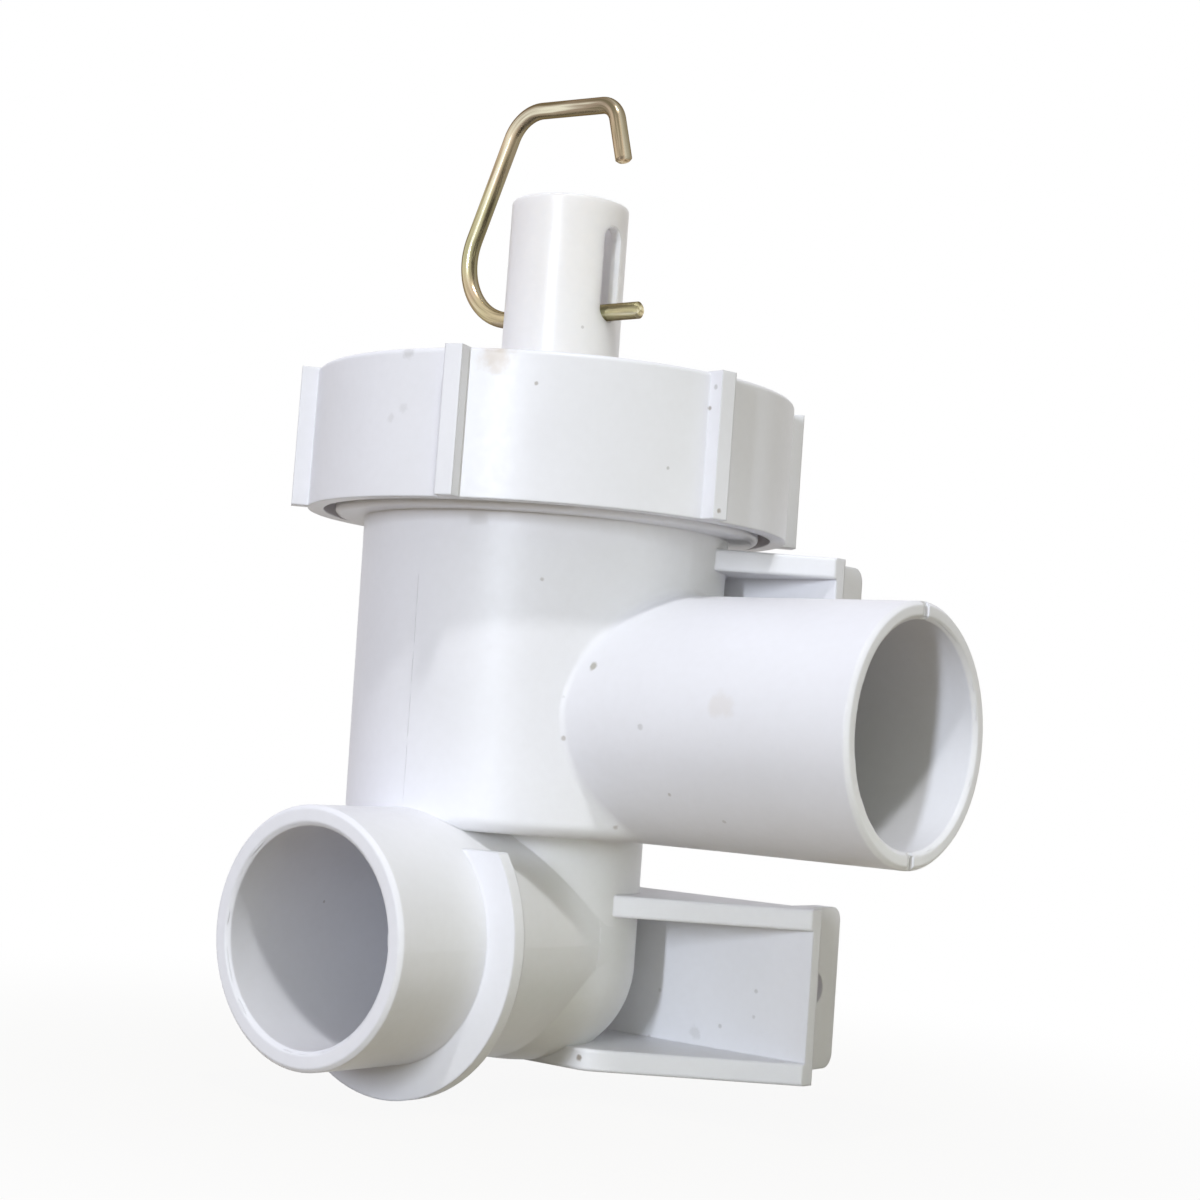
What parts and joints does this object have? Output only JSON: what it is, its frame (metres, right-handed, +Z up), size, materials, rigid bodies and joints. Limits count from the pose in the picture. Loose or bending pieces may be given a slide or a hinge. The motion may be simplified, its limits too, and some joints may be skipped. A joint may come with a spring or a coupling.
{
  "type": "washing machine drain valve",
  "caption": "White moulded drain valve with a ribbed screw cap, a spring-loaded rubber plug lifted by a wire hook, right-angled hose spigots and a side bracket with screw ears.",
  "frame": {"origin": "on the valve axis, in the flat underside of the elbow and bracket", "axes": "+Z up along the valve axis towards the hook, +X out of the outlet spigot and out of the screw ears, -Y out of the inlet spigot"},
  "size_m": [0.0937, 0.0727, 0.1343],
  "materials": {
    "body_plastic": "satin white moulded plastic with a faint grain and a few specks",
    "cap_plastic": "satin white moulded plastic, slightly stained at the rim",
    "sleeve_plastic": "smooth low-friction white plastic with a soft gloss",
    "rubber": "soft matt black rubber",
    "spring_steel": "drawn spring wire",
    "hook_wire": "yellow-passivated zinc plating on drawn steel wire"
  },
  "bodies": {
    "body": {"valve_body": "body_plastic"},
    "insert": {"rubber_bellows": "rubber", "outer_spring": "spring_steel"},
    "cap": {"screw_cap": "cap_plastic"},
    "plunger": {"guide_sleeve": "sleeve_plastic"},
    "tension_spring": {"inner_spring": "spring_steel"},
    "hook": {"pull_hook": "hook_wire"}
  },
  "joints": [
    {"name": "cap_rise", "type": "slide", "parent": "body", "child": "insert", "axis": [0, 0, 1], "range_m": [0, 0.009]},
    {"name": "cap_turn", "type": "hinge", "parent": "insert", "child": "cap", "pos_m": [0, 0, 0.08945], "axis": [0, 0, 1], "range_deg": [0, 810]},
    {"name": "valve_lift", "type": "slide", "parent": "insert", "child": "plunger", "axis": [0, 0, 1], "range_m": [0, 0.009], "stiffness_N_per_m": 300, "springref_m": -0.02, "deforming": ["rubber_bellows", "outer_spring"]},
    {"name": "hook_pull", "type": "slide", "parent": "plunger", "child": "tension_spring", "axis": [0, 0, 1], "range_m": [0, 0.0104], "stiffness_N_per_m": 600, "springref_m": -0.015, "deforming": ["inner_spring"]},
    {"name": "hook_swing", "type": "hinge", "parent": "tension_spring", "child": "hook", "pos_m": [0, 0, 0.09995], "axis": [1, 0, 0], "range_deg": [-105, 105]}
  ],
  "couplings": [
    {"joint": "cap_rise", "follows": "cap_turn", "m_per_rad": 0.000636}
  ]
}
